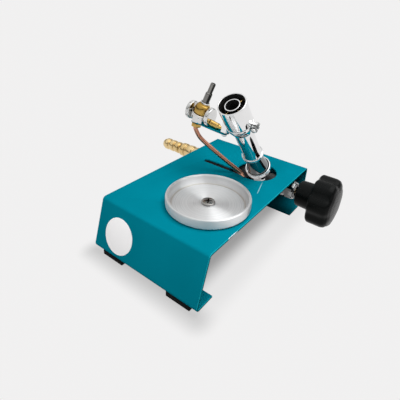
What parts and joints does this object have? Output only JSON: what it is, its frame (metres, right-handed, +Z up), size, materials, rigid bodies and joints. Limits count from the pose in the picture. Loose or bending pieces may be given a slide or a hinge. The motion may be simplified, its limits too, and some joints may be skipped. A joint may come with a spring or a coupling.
{
  "type": "bunsen burner",
  "caption": "Bench gas burner on a bent teal sheet base with a tilted chrome tube, pilot light on a side arm, shallow metal dish and a lobed black valve knob.",
  "frame": {"origin": "centre of the footprint, on the table under the rubber feet", "axes": "+X runs along the gas line from the hose tail to the knob, +Y runs from the sloping front to the upright back, +Z is up"},
  "size_m": [0.1886, 0.1632, 0.1242],
  "materials": {
    "teal_paint": "gloss",
    "black_rubber": "matte",
    "turned_aluminium": "turned",
    "steel": "satin",
    "dark_steel": "blackened",
    "nickel_plate": "satin",
    "brass": "machined",
    "black_plastic": "satin",
    "chrome": "polished",
    "copper": "drawn tube"
  },
  "bodies": {
    "base": {"base_plate": "teal_paint", "valve_hanger": "teal_paint", "pilot_arm": "teal_paint", "foot_front_left": "black_rubber", "foot_front_right": "black_rubber", "foot_back_left": "black_rubber", "foot_back_right": "black_rubber", "gland_packing": "black_rubber", "dish": "turned_aluminium", "dish_screw": "steel", "dish_washer": "steel", "dish_nut": "steel", "pilot_nozzle": "steel", "supply_pipe": "dark_steel", "pipe_nut": "dark_steel", "valve_body": "nickel_plate", "gland_nut": "nickel_plate", "burner_stem": "nickel_plate", "clamp_screw": "nickel_plate", "clamp_nut": "nickel_plate", "arm_screw": "nickel_plate", "pilot_body": "nickel_plate", "pilot_plug": "nickel_plate", "pilot_ferrule": "nickel_plate", "hose_tail": "brass", "gas_jet": "brass", "flame_spider": "brass", "pilot_jet": "brass", "pilot_nut": "brass", "pilot_inlet": "brass", "pilot_takeoff": "brass", "mixer_neck": "chrome", "burner_tube": "chrome", "flame_cup": "chrome", "pilot_clamp": "chrome", "pilot_tube": "copper"},
    "valve_spindle": {"valve_spindle": "brass"},
    "main_knob": {"main_knob": "black_plastic", "knob_set_screw": "steel"},
    "air_collar": {"air_collar": "chrome"},
    "pilot_spindle": {"pilot_spindle": "brass"},
    "pilot_knob": {"pilot_knob": "nickel_plate"}
  },
  "joints": [
    {"name": "valve_lift", "type": "slide", "parent": "base", "child": "valve_spindle", "axis": [1, 0, 0], "range_m": [0, 0.0015]},
    {"name": "valve_turn", "type": "hinge", "parent": "valve_spindle", "child": "main_knob", "pos_m": [0.0801, 0.0523, 0.0342], "axis": [1, 0, 0], "range_deg": [0, 540]},
    {"name": "air_turn", "type": "hinge", "parent": "base", "child": "air_collar", "pos_m": [0.0249, 0.04336, 0.04744], "axis": [-0.056, -0.5585, 0.8276], "range_deg": [0, 45]},
    {"name": "pilot_lift", "type": "slide", "parent": "base", "child": "pilot_spindle", "axis": [-0.9945, 0.0049, 0.1042], "range_m": [0, 0.00075]},
    {"name": "pilot_turn", "type": "hinge", "parent": "pilot_spindle", "child": "pilot_knob", "pos_m": [-0.02373, 0.00826, 0.0995], "axis": [-0.9945, 0.0049, 0.1042], "range_deg": [0, 540]}
  ],
  "couplings": [
    {"joint": "valve_lift", "follows": "valve_turn", "m_per_rad": 0.00015915},
    {"joint": "pilot_lift", "follows": "pilot_turn", "m_per_rad": 0.000079577}
  ]
}
